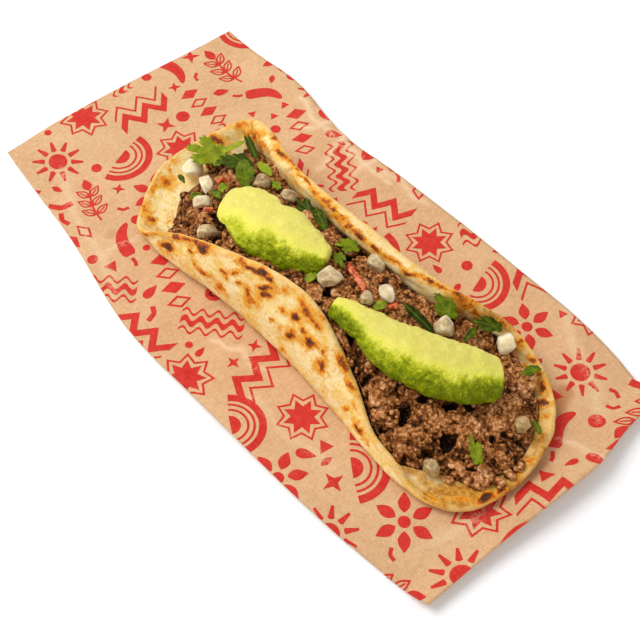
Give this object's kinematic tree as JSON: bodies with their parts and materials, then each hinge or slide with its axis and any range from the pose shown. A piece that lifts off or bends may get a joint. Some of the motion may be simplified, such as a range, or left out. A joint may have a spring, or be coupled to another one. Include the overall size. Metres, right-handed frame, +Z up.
{
  "type": "soft taco with ground beef and avocado",
  "caption": "Folded flour tortilla lying open on a sheet of kraft paper, filled with crumbled beef, avocado slices, diced onion, herb leaves and tomato.",
  "frame": {"origin": "under the middle of the paper sheet, on the surface it lies on", "axes": "+X along the paper's long side, +Z up"},
  "size_m": [0.2709, 0.1371, 0.0417],
  "materials": {
    "kraft_paper": "matt brown paper with a red print",
    "tortilla_bread": "soft flour tortilla, toasted in spots",
    "ground_beef": "moist cooked crumbles",
    "avocado_flesh": "moist flesh, yellow to green",
    "onion_flesh": "moist and slightly see-through",
    "herb_leaf": "fresh leaf",
    "tomato_flesh": "moist"
  },
  "bodies": {
    "root": {"paper": "kraft_paper", "tortilla": "tortilla_bread", "beef": "ground_beef", "avocado_1": "avocado_flesh", "avocado_2": "avocado_flesh", "onion_01": "onion_flesh", "onion_02": "onion_flesh", "onion_03": "onion_flesh", "onion_04": "onion_flesh", "onion_05": "onion_flesh", "onion_06": "onion_flesh", "onion_07": "onion_flesh", "onion_08": "onion_flesh", "onion_09": "onion_flesh", "onion_10": "onion_flesh", "onion_11": "onion_flesh", "onion_12": "onion_flesh", "onion_13": "onion_flesh", "onion_14": "onion_flesh", "cilantro_01": "herb_leaf", "cilantro_02": "herb_leaf", "cilantro_03": "herb_leaf", "cilantro_04": "herb_leaf", "cilantro_05": "herb_leaf", "cilantro_06": "herb_leaf", "cilantro_07": "herb_leaf", "cilantro_08": "herb_leaf", "cilantro_09": "herb_leaf", "cilantro_10": "herb_leaf", "cilantro_11": "herb_leaf", "cilantro_12": "herb_leaf", "cilantro_13": "herb_leaf", "cilantro_14": "herb_leaf", "cilantro_15": "herb_leaf", "cilantro_16": "herb_leaf", "cilantro_17": "herb_leaf", "cilantro_18": "herb_leaf", "cilantro_19": "herb_leaf", "cilantro_20": "herb_leaf", "cilantro_21": "herb_leaf", "cilantro_22": "herb_leaf", "cilantro_23": "herb_leaf", "cilantro_24": "herb_leaf", "tomato_01": "tomato_flesh", "tomato_02": "tomato_flesh", "tomato_03": "tomato_flesh", "tomato_04": "tomato_flesh"}
  },
  "joints": []
}
